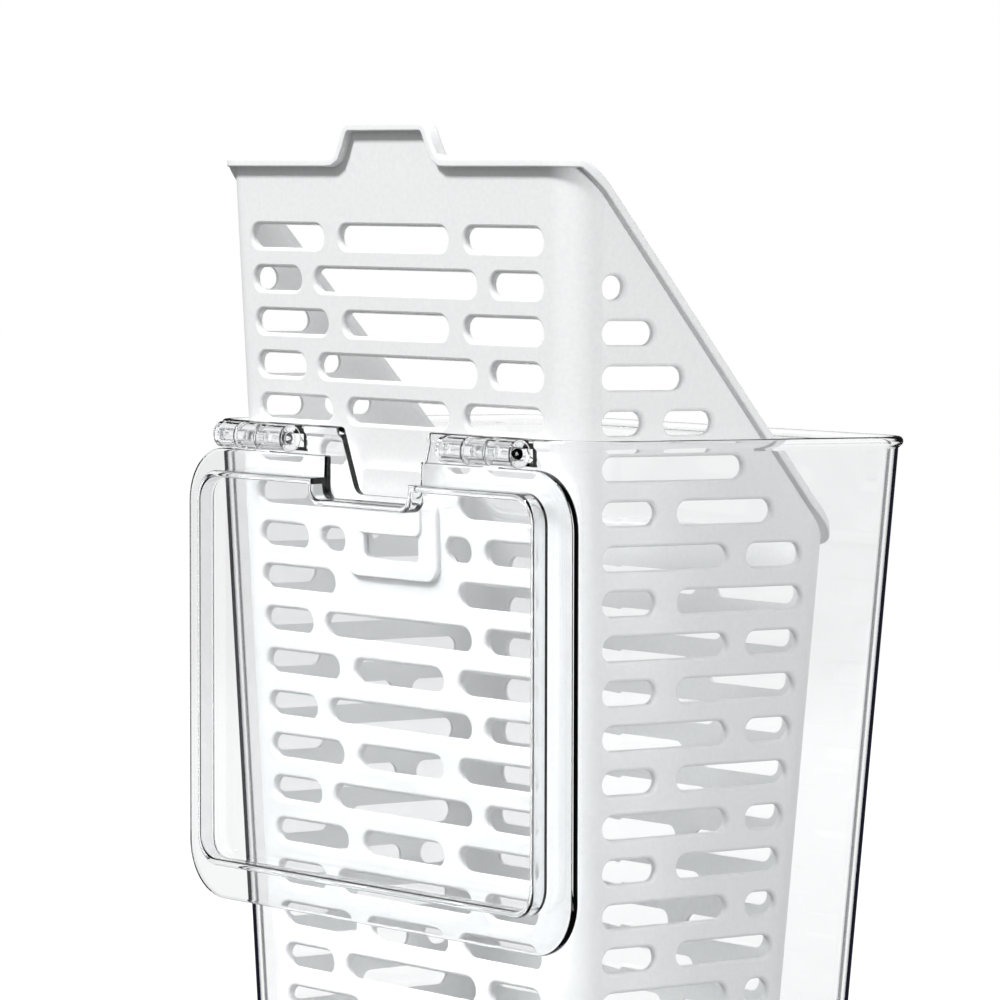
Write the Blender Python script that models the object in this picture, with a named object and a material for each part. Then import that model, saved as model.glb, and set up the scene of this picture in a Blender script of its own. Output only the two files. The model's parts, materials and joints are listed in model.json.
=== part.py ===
"""Fridge bin: a clear tapered container with a hinged clear lid and a lift-out perforated insert.

Frame: +Z up, origin at the middle of the container's underside, X along the hinge, -Y the
hinge side. Shown with the lid swung fully open against the hinge-side wall and the insert
parked in its raised position.
"""
import math

import bmesh
import bpy

MM = 0.001

# ---- container ----
HEIGHT = 226 * MM
RIM_WIDTH = 138.6 * MM
RIM_DEPTH = 106 * MM
BEAD_OUT = 1.0 * MM
BEAD_HEIGHT = 2.4 * MM
WALL = 1.7 * MM
FLOOR = 2.5 * MM
CORNER_RADIUS = 13 * MM
FOOT_CHAMFER = 1.2 * MM
SIDE_SLOPE = 0.040
FRONT_SLOPE = 0.057
NOTCH_TOP_HALF = 17.0 * MM
NOTCH_FOOT_HALF = 12.0 * MM
NOTCH_DEPTH = 15.3 * MM
NOTCH_RADIUS = 3.0 * MM

# ---- hinge ----
AXIS_OUT = 4.1 * MM
AXIS_BELOW_RIM = 1.6 * MM
KNUCKLE_RADIUS = 3.2 * MM
KNUCKLE_ENDS = (28.0 * MM, 37.5 * MM, 37.8 * MM, 45.3 * MM, 45.6 * MM, 54.2 * MM)
KNUCKLE_INSET = 0.2 * MM
PIN_RADIUS = 1.3 * MM
PIN_END_WALL = 0.7 * MM
PIN_SET_BACK = 0.4 * MM
RUNNING_GAP = 0.3 * MM
HINGE_Y = -RIM_DEPTH / 2 - AXIS_OUT
HINGE_Z = HEIGHT - AXIS_BELOW_RIM

# ---- lid ----
LID_WIDTH = 140.2 * MM
LID_LENGTH = 110.5 * MM
LID_TOP_GAP = 3.5 * MM
LID_INNER_FACE = 1.6 * MM
LID_THICKNESS = 2.0 * MM
LID_RADIUS = 13 * MM
LID_LEAN = math.radians(1.2)
LID_NOTCH_HALF = 17.2 * MM
LID_NOTCH_REACH = 13.2 * MM
LID_NOTCH_RADIUS = 2.5 * MM
LID_LUG_INSET = 0.1 * MM
LID_LUG_REACH = 2.0 * MM
RIB_INSET = 8.5 * MM
RIB_HEIGHT = 4.0 * MM
RIB_THICKNESS = 1.6 * MM
RIB_RADIUS = 7 * MM
RIB_NOTCH_GAP = 0.2 * MM

# ---- insert ----
INSERT_HEIGHT = 218.7 * MM
INSERT_RAISE = 67.4 * MM
INSERT_TOP_BELOW_RIM = 4.0 * MM
INSERT_GAP = 2.2 * MM
INSERT_WALL = 1.6 * MM
INSERT_SIDE_SLOPE = 0.037
INSERT_RADIUS = 9 * MM
INSERT_CHAMFER = 1.0 * MM
INSERT_TOP_HALF = 64.3 * MM
INSERT_BACK_DEPTH = 88.2 * MM
INSERT_LIP_OUT = 1.9 * MM
INSERT_LIP_HEIGHT = 1.9 * MM
LIP_OVERLAP = 0.2 * MM
WALL_BELOW_LIP = 1.0 * MM
TAB_SIDE_SHRINK = 0.6
SLOPE_SIDE_SHRINK = 0.35
LOW_WALL_DROP = 86.2 * MM
TAB_HEIGHT = 8.1 * MM
TAB_FOOT_HALF = 20.4 * MM
TAB_TOP_HALF = 12.9 * MM
INSERT_TOP = HEIGHT - INSERT_TOP_BELOW_RIM + INSERT_RAISE
INSERT_BASE = INSERT_TOP - INSERT_HEIGHT
SLOPE_START_Y = -47.6 * MM
SLOPE_END_Y = 33.0 * MM
SHELL_TOP = INSERT_TOP + TAB_HEIGHT + 3 * MM

# ---- slots in the insert ----
ROW_PITCH = 10 * MM
ROW_COUNT = 20
FIRST_ROW_DROP = 18.3 * MM
SLOT_HEIGHT = 5.3 * MM
SLOT_CORNER = 1.6 * MM
FRONT_EDGE_MARGIN = 11.0 * MM
FRONT_SPLITS = ((26.8 * MM, 6.1 * MM), (17.6 * MM, 5.3 * MM))
SIDE_FRONT_MARGIN = 8.1 * MM
SIDE_BACK_MARGIN = 9.2 * MM
SIDE_SPLITS = ((15.0 * MM, 6.5 * MM), (36.5 * MM, 6.0 * MM))
SHORT_ROW_SHARE = 0.36
SLOPE_MARGIN = 12.0 * MM
SHORTEST_SLOT = 5.0 * MM
LOW_WALL_MARGIN = 4.0 * MM
DRAIN_PITCH = 11 * MM
DRAIN_HALF = 2.5 * MM
DRAIN_REACH = 22 * MM

# ---- catch on the insert's hinge-side wall ----
CATCH_PROUD = 1.2 * MM
TONGUE_PROUD = 1.8 * MM
CATCH_HALF = 16.6 * MM
CATCH_FOOT_Z = 193.4 * MM
CATCH_TOP_Z = 213.0 * MM
WINDOW_HALF = 9.8 * MM
WINDOW_FOOT_Z = 197.6 * MM
WINDOW_TOP_Z = 208.0 * MM
TONGUE_HALF = 11.6 * MM
TONGUE_FOOT_Z = 203.4 * MM
TONGUE_TOP_Z = 218.7 * MM
CATCH_RADIUS = 4.0 * MM
TONGUE_RADIUS = 2.5 * MM
WINDOW_RADIUS = 1.5 * MM
CATCH_MARGIN = 2.0 * MM

# ---- cutters ----
CUT_MARGIN = 1 * MM
CUT_REACH = 5 * MM
ARC_STEPS = 5
FAR = 200 * MM


def clear_scene():
    for obj in list(bpy.data.objects):
        bpy.data.objects.remove(obj, do_unlink=True)


def plastic(name, colour, roughness, transmission=0.0):
    material = bpy.data.materials.new(name)
    material.use_nodes = True
    shader = material.node_tree.nodes["Principled BSDF"]
    shader.inputs["Base Color"].default_value = (*colour, 1.0)
    shader.inputs["Roughness"].default_value = roughness
    shader.inputs["Transmission Weight"].default_value = transmission
    shader.inputs["IOR"].default_value = 1.5
    return material


def make_object(name, mesh_maker, material=None):
    """Link a new object whose mesh is filled by mesh_maker(bm)."""
    bm = bmesh.new()
    mesh_maker(bm)
    bmesh.ops.recalc_face_normals(bm, faces=bm.faces)
    mesh = bpy.data.meshes.new(name)
    bm.to_mesh(mesh)
    bm.free()
    if material:
        mesh.materials.append(material)
    obj = bpy.data.objects.new(name, mesh)
    bpy.context.scene.collection.objects.link(obj)
    return obj


def combine(target, tool, operation):
    """Add, cut or keep the overlap with a hidden tool object."""
    tool.hide_render = True
    tool.display_type = "WIRE"
    modifier = target.modifiers.new(tool.name, "BOOLEAN")
    modifier.operation = operation
    modifier.solver = "EXACT"
    modifier.object = tool


# ---- outlines ----

def arc(centre, radius, start_deg, end_deg, steps=ARC_STEPS):
    """Points on an arc in the plane, from one angle to the other."""
    points = []
    for i in range(steps + 1):
        angle = math.radians(start_deg + (end_deg - start_deg) * i / steps)
        points.append((centre[0] + radius * math.cos(angle), centre[1] + radius * math.sin(angle)))
    return points


def rounded_box(x_low, x_high, y_low, y_high, radius):
    """A rectangle with rounded corners, anticlockwise."""
    return (arc((x_low + radius, y_low + radius), radius, 180, 270)
            + arc((x_high - radius, y_low + radius), radius, 270, 360)
            + arc((x_high - radius, y_high - radius), radius, 0, 90)
            + arc((x_low + radius, y_high - radius), radius, 90, 180))


def slot_outline(low, high, foot):
    """A long slot with clipped ends, so that it has eight corners."""
    top = foot + SLOT_HEIGHT
    clip = SLOT_CORNER
    return [(low + clip, foot), (high - clip, foot), (high, foot + clip), (high, top - clip),
            (high - clip, top), (low + clip, top), (low, top - clip), (low, foot + clip)]


def s_curve(start, end, steps=6):
    """Points easing from start to end, level at both."""
    points = []
    for i in range(steps + 1):
        t = i / steps
        ease = t * t * (3 - 2 * t)
        points.append((start[0] + (end[0] - start[0]) * t, start[1] + (end[1] - start[1]) * ease))
    return points


# ---- solids ----

def loft(bm, rings):
    """Skin a row of equal rings and cap both ends."""
    loops = [[bm.verts.new(point) for point in ring] for ring in rings]
    count = len(loops[0])
    for below, above in zip(loops, loops[1:]):
        for i in range(count):
            j = (i + 1) % count
            bm.faces.new((below[i], below[j], above[j], above[i]))
    bm.faces.new(reversed(loops[0]))
    bm.faces.new(loops[-1])


def tube(bm, rings):
    """Skin a row of equal rings and close it back onto the first."""
    loops = [[bm.verts.new(point) for point in ring] for ring in rings]
    count = len(loops[0])
    for here, there in zip(loops, loops[1:] + loops[:1]):
        for i in range(count):
            j = (i + 1) % count
            bm.faces.new((here[i], here[j], there[j], there[i]))


def along_y(outline, low, high):
    """Rings of an (x, z) outline at two places on Y."""
    return [[(x, y, z) for x, z in outline] for y in (low, high)]


def along_x(outline, low, high):
    """Rings of a (y, z) outline at two places on X."""
    return [[(x, y, z) for y, z in outline] for x in (low, high)]


def cylinder_x(low, high, radius, y=0.0, z=0.0, steps=20):
    outline = arc((y, z), radius, 0, 360 - 360 / steps, steps - 1)
    return along_x(outline, low, high)


def mirrored(low, high):
    """The same stretch of X on the right and on the left."""
    return (low, high), (-high, -low)


# ---- container ----

def container_ring(z, grow):
    """The container's outline at a height, moved out by grow."""
    drop = HEIGHT - z
    half_x = RIM_WIDTH / 2 - BEAD_OUT - SIDE_SLOPE * drop + grow
    half_y = RIM_DEPTH / 2 - BEAD_OUT - FRONT_SLOPE * drop + grow
    outline = rounded_box(-half_x, half_x, -half_y, half_y, CORNER_RADIUS + grow)
    return [(x, y, z) for x, y in outline]


def container_shell(bm):
    loft(bm, [container_ring(0, -FOOT_CHAMFER),
              container_ring(FOOT_CHAMFER, 0),
              container_ring(HEIGHT - BEAD_HEIGHT, 0),
              container_ring(HEIGHT - BEAD_HEIGHT, BEAD_OUT),
              container_ring(HEIGHT, BEAD_OUT),
              container_ring(HEIGHT, -WALL),
              container_ring(FLOOR, -WALL)])


def notch_cutter(bm):
    foot = HEIGHT - NOTCH_DEPTH
    lean = math.degrees(math.atan2(NOTCH_TOP_HALF - NOTCH_FOOT_HALF, NOTCH_DEPTH))
    right = arc((NOTCH_FOOT_HALF - NOTCH_RADIUS, foot + NOTCH_RADIUS), NOTCH_RADIUS, 270, 360 - lean)
    right.append((NOTCH_TOP_HALF, HEIGHT + CUT_MARGIN))
    left = [(-x, z) for x, z in reversed(right)]
    loft(bm, along_y(right + left, -RIM_DEPTH / 2 - CUT_MARGIN, -RIM_DEPTH / 2 + CORNER_RADIUS))


def container_knuckles(bm):
    """Arms that reach out of the rim, each ending in a half-round round the hinge axis."""
    ends = KNUCKLE_ENDS
    root_y = -RIM_DEPTH / 2 + BEAD_OUT + WALL / 2
    outline = [(root_y, HINGE_Z - KNUCKLE_RADIUS + KNUCKLE_INSET), (root_y, HEIGHT - KNUCKLE_INSET)]
    outline += arc((HINGE_Y, HINGE_Z), KNUCKLE_RADIUS, 30, 270, 16)
    for low, high in mirrored(ends[0], ends[1]) + mirrored(ends[4], ends[5]):
        loft(bm, along_x(outline, low, high))


def pin_bores(bm):
    """Blind at the inner end, open at the outer end where the pin goes in."""
    radius = PIN_RADIUS + RUNNING_GAP
    for low, high in mirrored(KNUCKLE_ENDS[0] + PIN_END_WALL, KNUCKLE_ENDS[5] + CUT_MARGIN):
        loft(bm, cylinder_x(low, high, radius, HINGE_Y, HINGE_Z, 12))


def make_container(material):
    container = make_object("container", container_shell, material)
    combine(container, make_object("tool_notch", notch_cutter), "DIFFERENCE")
    combine(container, make_object("tool_knuckles", container_knuckles), "UNION")
    combine(container, make_object("tool_bores", pin_bores), "DIFFERENCE")


def make_pins(material):
    low = KNUCKLE_ENDS[0] + PIN_END_WALL + RUNNING_GAP
    high = KNUCKLE_ENDS[5] - PIN_SET_BACK
    for name, side in (("hinge_pin_right", 1), ("hinge_pin_left", -1)):
        ends = sorted((side * low, side * high))
        pin = make_object(name, lambda bm: loft(bm, cylinder_x(*ends, PIN_RADIUS, steps=12)), material)
        pin.location = (0, HINGE_Y, HINGE_Z)


# ---- lid, drawn hanging straight down from its hinge axis ----

def lid_outline(inset, near, radius, notch_half, notch_reach):
    """The lid's (x, z) outline with the notch in its hinge end."""
    half = LID_WIDTH / 2 - inset
    foot = -LID_LENGTH + inset
    corner_x = notch_half - LID_NOTCH_RADIUS
    corner_z = -notch_reach + LID_NOTCH_RADIUS
    points = arc((-half + radius, foot + radius), radius, 180, 270)
    points += arc((half - radius, foot + radius), radius, 270, 360)
    points += arc((half - radius, -near - radius), radius, 0, 90)
    points.append((notch_half, -near))
    points += arc((corner_x, corner_z), LID_NOTCH_RADIUS, 0, -90)
    points += arc((-corner_x, corner_z), LID_NOTCH_RADIUS, -90, -180)
    points.append((-notch_half, -near))
    points += arc((-half + radius, -near - radius), radius, 90, 180)
    return points


def lid_plate(bm):
    outline = lid_outline(0, LID_TOP_GAP, LID_RADIUS, LID_NOTCH_HALF, LID_NOTCH_REACH)
    loft(bm, along_y(outline, LID_INNER_FACE, LID_INNER_FACE + LID_THICKNESS))


def rib_outline(inset):
    return lid_outline(RIB_INSET + inset, RIB_INSET + inset, RIB_RADIUS - inset,
                       LID_NOTCH_HALF + RIB_NOTCH_GAP + inset, LID_NOTCH_REACH + RIB_NOTCH_GAP + inset)


def lid_rib(bm):
    """The standing rib that drops inside the container's rim."""
    low = LID_INNER_FACE - RIB_HEIGHT
    high = LID_INNER_FACE + LID_THICKNESS / 4
    tube(bm, along_y(rib_outline(0), low, high) + along_y(rib_outline(RIB_THICKNESS), high, low))


def lid_knuckles(bm):
    """A round barrel with a lug that runs down into the lid's plate."""
    lug_front = LID_INNER_FACE + LID_LUG_INSET
    lug_back = LID_INNER_FACE + LID_THICKNESS - LID_LUG_INSET
    lug_foot = -LID_TOP_GAP - LID_LUG_REACH
    turn = math.degrees(math.asin(lug_front / KNUCKLE_RADIUS))
    barrel = arc((0, 0), KNUCKLE_RADIUS, 0, 270 + turn, 16)
    outline = barrel + [(lug_front, lug_foot), (lug_back, lug_foot), (lug_back, 0)]
    for low, high in mirrored(KNUCKLE_ENDS[2], KNUCKLE_ENDS[3]):
        loft(bm, along_x(outline, low, high))


def lid_bores(bm):
    for low, high in mirrored(KNUCKLE_ENDS[1], KNUCKLE_ENDS[4]):
        loft(bm, cylinder_x(low, high, PIN_RADIUS + RUNNING_GAP, steps=12))


def make_lid(material):
    lid = make_object("lid", lid_plate, material)
    tools = ((lid_rib, "UNION"), (lid_knuckles, "UNION"), (lid_bores, "DIFFERENCE"))
    for maker, operation in tools:
        tool = make_object("tool_" + maker.__name__, maker)
        tool.parent = lid
        combine(lid, tool, operation)
    lid.location = (0, HINGE_Y, HINGE_Z)
    lid.rotation_euler.x = LID_LEAN


# ---- insert ----

def insert_front(z):
    """Y of the insert's hinge-side face at a height."""
    rim_face = -RIM_DEPTH / 2 + BEAD_OUT + WALL + INSERT_GAP
    return rim_face - FRONT_SLOPE * (z - HEIGHT)


def insert_back(z):
    """Y of the outside of the insert's far wall at a height."""
    return insert_front(INSERT_TOP) + INSERT_BACK_DEPTH - FRONT_SLOPE * (INSERT_TOP - z)


def insert_half(z):
    """Half of the insert's width at a height."""
    return INSERT_TOP_HALF - INSERT_SIDE_SLOPE * (INSERT_TOP - z)


def insert_ring(z, grow):
    half = insert_half(z) + grow
    outline = rounded_box(-half, half, insert_front(z) - grow, insert_back(z) + grow, INSERT_RADIUS + grow)
    return [(x, y, z) for x, y in outline]


def insert_cup(bm):
    loft(bm, [insert_ring(INSERT_BASE, -INSERT_CHAMFER),
              insert_ring(INSERT_BASE + INSERT_CHAMFER, 0),
              insert_ring(SHELL_TOP, 0),
              insert_ring(SHELL_TOP, -INSERT_WALL),
              insert_ring(INSERT_BASE + INSERT_WALL, -INSERT_WALL)])


def insert_lip_shell(bm):
    """A thicker ring of wall, from which the lip's band is kept."""
    foot = INSERT_TOP - LOW_WALL_DROP * 1.25
    inward = -INSERT_WALL - LIP_OVERLAP
    tube(bm, [insert_ring(foot, INSERT_LIP_OUT), insert_ring(SHELL_TOP, INSERT_LIP_OUT),
              insert_ring(SHELL_TOP, inward), insert_ring(foot, inward)])


def tab_line(drop):
    """The (x, z) line of the front edge with the grip tab, lowered by drop."""
    level = INSERT_TOP - drop
    foot = TAB_FOOT_HALF - drop
    top = TAB_TOP_HALF - drop * TAB_SIDE_SHRINK
    right = s_curve((top, level + TAB_HEIGHT), (foot, level))
    left = [(-x, z) for x, z in reversed(right)]
    return left + right


def side_line(drop):
    """The (y, z) line of the sloping side edge, lowered by drop."""
    high = INSERT_TOP - drop
    low = INSERT_TOP - LOW_WALL_DROP - drop
    shift = -drop * SLOPE_SIDE_SHRINK
    return [(SLOPE_START_Y + shift, high), (SLOPE_END_Y + shift, low), (FAR, low)]


def keep_below_side_line(bm):
    line = [(-FAR, INSERT_TOP - WALL_BELOW_LIP)] + side_line(WALL_BELOW_LIP)
    loft(bm, along_x(line + [(FAR, 0), (-FAR, 0)], -FAR, FAR))


def keep_below_tab(bm):
    foot = INSERT_TOP - CUT_REACH
    line = tab_line(WALL_BELOW_LIP)[1:-1]
    edge = line[-1][0]
    outline = line + [(edge, foot), (-edge, foot)]
    loft(bm, along_y(outline, insert_front(INSERT_TOP) - CUT_REACH, SLOPE_START_Y))


def front_band(bm):
    top = [(-FAR, INSERT_TOP)] + tab_line(0) + [(FAR, INSERT_TOP)]
    drop = INSERT_LIP_HEIGHT
    foot = [(-FAR, INSERT_TOP - drop)] + tab_line(drop) + [(FAR, INSERT_TOP - drop)]
    loft(bm, along_y(top + foot[::-1], -FAR, SLOPE_START_Y))


def side_band(bm):
    drop = INSERT_LIP_HEIGHT
    start = SLOPE_START_Y - INSERT_WALL
    top = [(start, INSERT_TOP)] + side_line(0)
    foot = [(start, INSERT_TOP - drop)] + side_line(drop)
    loft(bm, along_x(top + foot[::-1], -FAR, FAR))


# ---- slots ----

def row_foot(row):
    return INSERT_TOP - FIRST_ROW_DROP - SLOT_HEIGHT / 2 - ROW_PITCH * row


def front_slots(row, foot):
    """Stretches of X that are open in a row of the hinge-side or far wall."""
    end, bridge = FRONT_SPLITS[row % 2]
    half = insert_half(foot) - FRONT_EDGE_MARGIN
    middle = half - end - bridge
    return [(-half, -half + end), (-middle, middle), (half - end, half)]


def side_slots(row, foot):
    """Stretches of Y that are open in a row of a side wall, cut short under the slope."""
    start = insert_front(foot) + SIDE_FRONT_MARGIN
    end = insert_back(foot) - SIDE_BACK_MARGIN
    low_edge = INSERT_TOP - LOW_WALL_DROP
    climb = (INSERT_TOP - low_edge) / (SLOPE_END_Y - SLOPE_START_Y)
    end = min(end, SLOPE_START_Y + (INSERT_TOP - foot - SLOT_HEIGHT) / climb - SLOPE_MARGIN)
    near, bridge = SIDE_SPLITS[row % 2]
    if row % 2 == 0:
        near = min(near, SHORT_ROW_SHARE * (end - start))
    if end - start - near - bridge < SHORTEST_SLOT:
        near = end - start
    stretches = [(start, start + near), (start + near + bridge, end)]
    return [(low, high) for low, high in stretches if high - low > SHORTEST_SLOT]


def behind_catch(low, high, foot):
    """True where a slot would run under the catch."""
    reach = CATCH_HALF + CATCH_MARGIN
    overlaps_x = low < reach and high > -reach
    return overlaps_x and CATCH_FOOT_Z - SLOT_HEIGHT < foot < TONGUE_TOP_Z


def open_beside_catch(low, high, foot):
    """The parts of a slot that clear the catch."""
    if not behind_catch(low, high, foot):
        return [(low, high)]
    edge = CATCH_HALF + CATCH_MARGIN
    parts = [(low, min(high, -edge)), (max(low, edge), high)]
    return [(a, b) for a, b in parts if b - a > SHORTEST_SLOT]


def front_cutters(bm):
    for row in range(ROW_COUNT):
        foot = row_foot(row)
        middle_y = insert_front(foot)
        for slot in front_slots(row, foot):
            for low, high in open_beside_catch(*slot, foot):
                outline = slot_outline(low, high, foot)
                loft(bm, along_y(outline, middle_y - CUT_REACH, middle_y + CUT_REACH))


def back_cutters(bm):
    for row in range(ROW_COUNT):
        foot = row_foot(row)
        if foot + SLOT_HEIGHT > INSERT_TOP - LOW_WALL_DROP - LOW_WALL_MARGIN:
            continue
        middle_y = insert_back(foot)
        for low, high in front_slots(row, foot):
            outline = slot_outline(low, high, foot)
            loft(bm, along_y(outline, middle_y - CUT_REACH, middle_y + CUT_REACH))


def side_cutters(bm):
    for row in range(ROW_COUNT):
        foot = row_foot(row)
        middle_x = insert_half(foot)
        for low, high in side_slots(row, foot):
            for span in mirrored(middle_x - CUT_REACH, middle_x + CUT_REACH):
                loft(bm, along_x(slot_outline(low, high, foot), *span))


def floor_cutters(bm):
    """Drain slots across the insert's floor."""
    middle_y = (insert_front(INSERT_BASE) + insert_back(INSERT_BASE)) / 2
    for column in range(-4, 5):
        centre = column * DRAIN_PITCH
        outline = rounded_box(centre - DRAIN_HALF, centre + DRAIN_HALF,
                              middle_y - DRAIN_REACH, middle_y + DRAIN_REACH, SLOT_CORNER)
        levels = (INSERT_BASE - CUT_MARGIN, INSERT_BASE + CUT_REACH)
        loft(bm, [[(x, y, z) for x, y in outline] for z in levels])


# ---- catch ----

def catch_frame(bm):
    """The U-shaped frame that stands proud round the catch's window."""
    outline = rounded_box(-CATCH_HALF, CATCH_HALF, CATCH_FOOT_Z, CATCH_TOP_Z, CATCH_RADIUS)
    face_prism(bm, outline, CATCH_PROUD)


def catch_window(bm):
    outline = rounded_box(-WINDOW_HALF, WINDOW_HALF, WINDOW_FOOT_Z, WINDOW_TOP_Z, WINDOW_RADIUS)
    middle_y = insert_front(WINDOW_FOOT_Z)
    loft(bm, along_y(outline, middle_y - CUT_REACH, middle_y + CUT_REACH))


def catch_tongue(bm):
    """The catch's flat tongue, which crosses the top of the window."""
    outline = rounded_box(-TONGUE_HALF, TONGUE_HALF, TONGUE_FOOT_Z, TONGUE_TOP_Z, TONGUE_RADIUS)
    face_prism(bm, outline, TONGUE_PROUD)


def face_prism(bm, outline, proud):
    """A pad on the insert's sloping hinge-side face, from inside the wall to proud of it."""
    rings = []
    for depth in (-proud, INSERT_WALL / 2):
        rings.append([(x, insert_front(z) + depth, z) for x, z in outline])
    loft(bm, rings)


def make_insert(material):
    insert = make_object("insert", insert_cup, material)
    keep = make_object("tool_keep", keep_below_side_line)
    combine(keep, make_object("tool_keep_tab", keep_below_tab), "UNION")
    combine(insert, keep, "INTERSECT")
    lip = make_object("tool_lip", insert_lip_shell)
    band = make_object("tool_band", side_band)
    combine(band, make_object("tool_front_band", front_band), "UNION")
    combine(lip, band, "INTERSECT")
    combine(insert, lip, "UNION")
    combine(insert, make_object("tool_catch_frame", catch_frame), "UNION")
    combine(insert, make_object("tool_catch_window", catch_window), "DIFFERENCE")
    combine(insert, make_object("tool_catch_tongue", catch_tongue), "UNION")
    for maker in (front_cutters, back_cutters, side_cutters, floor_cutters):
        combine(insert, make_object("tool_" + maker.__name__, maker), "DIFFERENCE")


def main():
    clear_scene()
    clear = plastic("clear_plastic", (0.95, 0.97, 0.98), 0.03, 1.0)
    make_container(clear)
    make_pins(plastic("clear_pin", (0.93, 0.95, 0.97), 0.06, 1.0))
    make_lid(clear)
    make_insert(plastic("white_plastic", (0.86, 0.87, 0.87), 0.35))


main()
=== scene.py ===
"""The looks of the fridge bin: clear glossy container and lid, satin white insert, in a plain studio.

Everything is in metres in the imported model's frame: +Z up, X along the hinge, -Y the hinge side,
origin at the middle of the container's underside. Fine meshes stand for the CAD nodes and keep
their sizes.
"""
import json
import math

import bmesh
import bpy
from mathutils import Matrix, Vector


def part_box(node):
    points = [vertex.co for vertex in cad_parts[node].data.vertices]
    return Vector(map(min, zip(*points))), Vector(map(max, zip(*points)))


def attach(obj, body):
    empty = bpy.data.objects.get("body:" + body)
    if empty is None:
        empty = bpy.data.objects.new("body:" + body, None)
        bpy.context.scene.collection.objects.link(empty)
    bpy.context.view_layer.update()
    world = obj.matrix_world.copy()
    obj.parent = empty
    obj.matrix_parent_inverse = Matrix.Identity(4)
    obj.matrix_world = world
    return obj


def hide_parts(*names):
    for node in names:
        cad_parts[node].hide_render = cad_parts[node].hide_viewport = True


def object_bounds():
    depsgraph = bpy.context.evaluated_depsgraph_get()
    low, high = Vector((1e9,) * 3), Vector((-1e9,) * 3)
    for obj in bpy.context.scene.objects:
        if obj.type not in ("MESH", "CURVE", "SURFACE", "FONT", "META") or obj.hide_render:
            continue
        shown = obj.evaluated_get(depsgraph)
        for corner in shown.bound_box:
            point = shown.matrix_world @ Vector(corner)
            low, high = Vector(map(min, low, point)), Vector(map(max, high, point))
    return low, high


MM = 0.001

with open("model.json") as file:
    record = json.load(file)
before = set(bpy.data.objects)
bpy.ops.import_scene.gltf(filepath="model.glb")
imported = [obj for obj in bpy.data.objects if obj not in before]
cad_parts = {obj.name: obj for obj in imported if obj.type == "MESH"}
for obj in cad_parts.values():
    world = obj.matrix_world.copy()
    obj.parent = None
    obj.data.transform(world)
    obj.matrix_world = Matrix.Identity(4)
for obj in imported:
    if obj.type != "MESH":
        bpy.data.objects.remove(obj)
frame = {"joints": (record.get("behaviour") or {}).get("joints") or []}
cad_low, cad_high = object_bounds()
container_low, container_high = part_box("container")
insert_low, insert_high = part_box("insert")
lid_joint = next(j for j in frame["joints"] if j["name"] == "lid_hinge")

# ---- container ----
# the rim is level with the top of the hinge's barrels here, 1.6 mm above the CAD's rim
HEIGHT = container_high.z
RIM_HALF_X = container_high.x
RIM_HALF_Y = container_high.y
BEAD_OUT = 1.0 * MM
BEAD_HEIGHT = 2.4 * MM
BEAD_GAP = 0.3 * MM
BEAD_START = -60
INNER_RIM_EDGE = 0.8 * MM
WALL = 1.7 * MM
FLOOR = 2.5 * MM
CORNER_RADIUS = 12.4 * MM
FOOT_RADIUS = 2.4 * MM
INNER_FOOT_RADIUS = 3.0 * MM
SIDE_SLOPE = 0.040
FRONT_SLOPE = 0.057
NOTCH_TOP_HALF = 17.0 * MM
NOTCH_FOOT_HALF = 12.0 * MM
NOTCH_DEPTH = 15.3 * MM
NOTCH_RADIUS = 3.0 * MM
NOTCH_EDGE = 0.35 * MM

# ---- hinge ----
HINGE_Y = lid_joint["pos_m"][1]
HINGE_Z = lid_joint["pos_m"][2]
KNUCKLE_RADIUS = 3.2 * MM
KNUCKLE_ENDS = (28.0 * MM, 37.5 * MM, 37.8 * MM, 45.3 * MM, 45.6 * MM, 54.2 * MM)
KNUCKLE_EDGE = 0.6 * MM
ARM_INSET = 0.2 * MM
PIN_RADIUS = 1.3 * MM
PIN_GAP = 0.3 * MM
PIN_END_WALL = 0.7 * MM
PIN_SET_BACK = 0.4 * MM

# ---- lid ----
LID_HALF = 70.1 * MM
LID_LENGTH = 110.5 * MM
LID_TOP_GAP = 3.5 * MM
LID_INNER_FACE = 1.6 * MM
LID_THICKNESS = 2.0 * MM
LID_EDGE = 0.7 * MM
LID_RADIUS = 13 * MM
LID_LEAN = math.radians(1.2)
LID_NOTCH_HALF = 17.2 * MM
LID_NOTCH_REACH = 13.2 * MM
LID_NOTCH_RADIUS = 2.5 * MM
LUG_INSET = 0.1 * MM
LUG_REACH = 2.0 * MM
RIB_INSET = 8.5 * MM
RIB_HEIGHT = 4.0 * MM
RIB_THICKNESS = 1.6 * MM
RIB_RADIUS = 7 * MM
RIB_NOTCH_GAP = 0.2 * MM

# ---- insert ----
INSERT_GAP = 2.2 * MM
INSERT_WALL = 1.6 * MM
INSERT_SIDE_SLOPE = 0.037
INSERT_RADIUS = 9 * MM
INSERT_FOOT_RADIUS = 1.5 * MM
INSERT_TOP_HALF = 64.3 * MM
INSERT_BACK_DEPTH = 88.2 * MM
LIP_OUT = 1.9 * MM
LIP_HEIGHT = 2.2 * MM
LIP_IN = 0.2 * MM
LIP_EDGE = 0.75 * MM
LIP_FOOT_EDGE = 0.4 * MM
LOW_WALL_DROP = 86.2 * MM
TAB_HEIGHT = 8.1 * MM
TAB_FOOT_HALF = 21.6 * MM
TAB_TOP_HALF = 11.7 * MM
INSERT_TOP = insert_high.z - TAB_HEIGHT
INSERT_BASE = insert_low.z
SLOPE_START_Y = -47.6 * MM
SLOPE_END_Y = 33.0 * MM
CLIMB = LOW_WALL_DROP / (SLOPE_END_Y - SLOPE_START_Y)
WALL_BELOW_LIP = 1.0 * MM
TAB_STEPS = 24
LIP_SIDE_STEPS = (72, 24, 24, 24)
HEIGHT_PASSES = 12

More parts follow.
